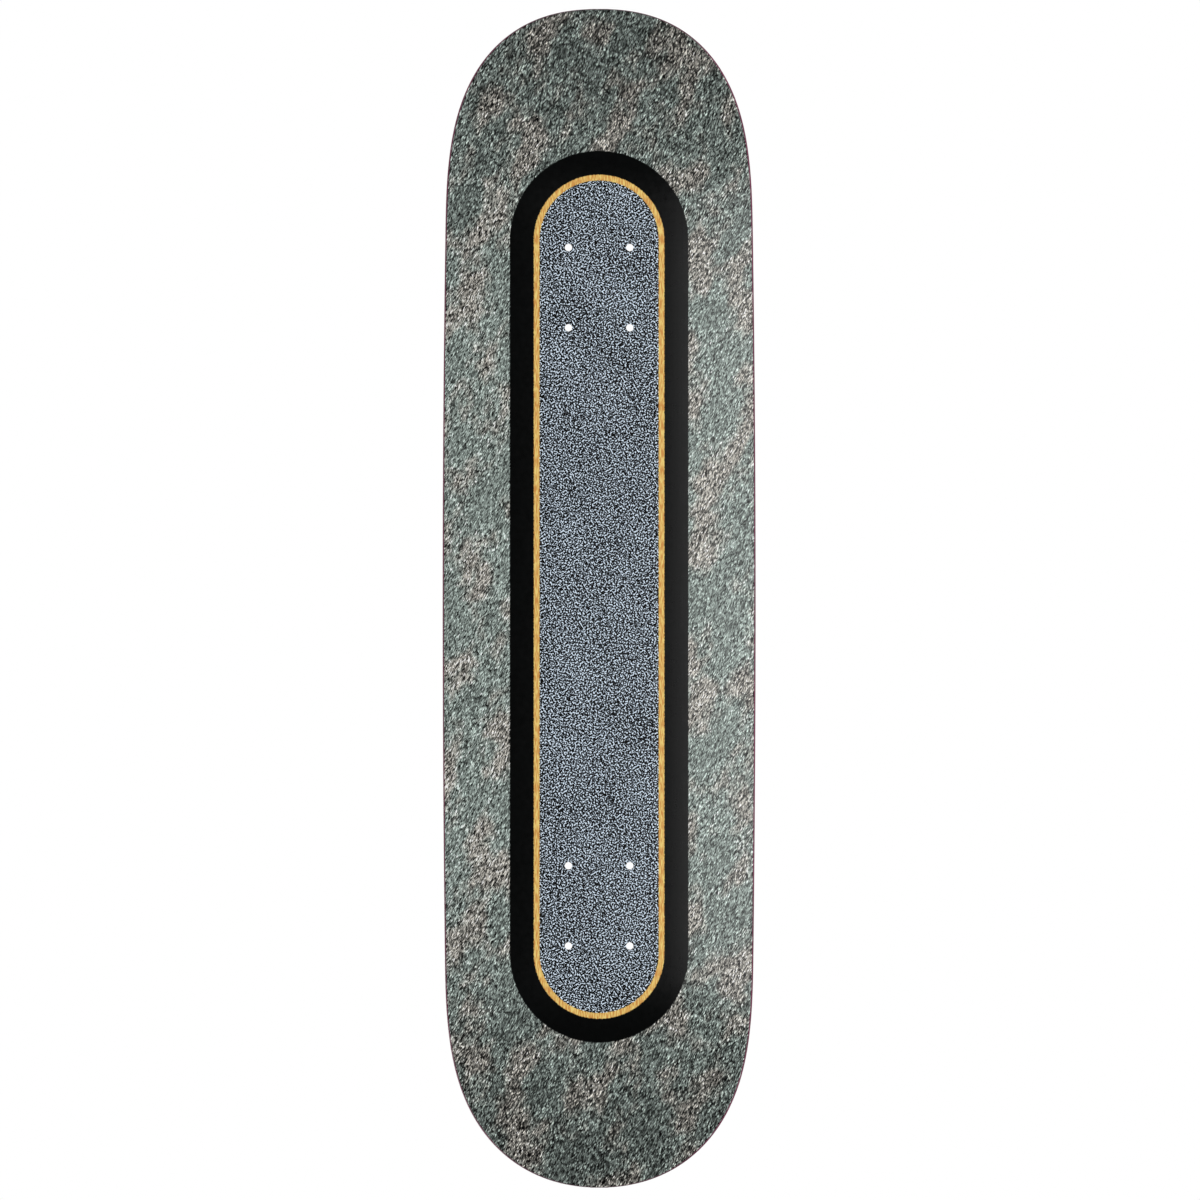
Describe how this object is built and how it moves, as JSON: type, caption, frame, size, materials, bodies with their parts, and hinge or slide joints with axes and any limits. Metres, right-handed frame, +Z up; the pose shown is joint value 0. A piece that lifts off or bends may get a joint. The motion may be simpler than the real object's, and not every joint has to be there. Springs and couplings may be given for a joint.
{
  "type": "skateboard deck",
  "caption": "Popsicle-shaped pressed maple skateboard deck with concave, upturned nose and tail, drilled truck bolt holes and a printed underside film.",
  "frame": {"origin": "middle of the flat underside, on the outer face of the graphic film, half-way between the two truck bolt patterns", "axes": "+X along the deck towards the nose, +Y across the deck, +Z up out of the riding side; the graphic side faces -Z"},
  "size_m": [0.7947, 0.2108, 0.058],
  "materials": {
    "printed_film": "satin-gloss heat-transfer film: mottled grey-green stone print with a plain straight dark strip, a thin amber outline and a black band",
    "stained_maple": "plum-stained rotary-cut maple veneer under clear lacquer",
    "natural_maple": "natural rotary-cut maple veneer, grain along the deck, clear satin lacquer",
    "cross_maple": "natural maple veneer, grain across the deck, end grain showing at the rails",
    "glue": "cured amber wood glue line"
  },
  "bodies": {
    "root": {"graphic_film": "printed_film", "bottom_face_ply": "stained_maple", "glue_line_1": "glue", "core_ply_2": "natural_maple", "glue_line_2": "glue", "cross_ply_3": "cross_maple", "glue_line_3": "glue", "core_ply_4": "natural_maple", "glue_line_4": "glue", "cross_ply_5": "cross_maple", "glue_line_5": "glue", "core_ply_6": "natural_maple", "glue_line_6": "glue", "top_face_ply": "natural_maple"}
  },
  "joints": []
}
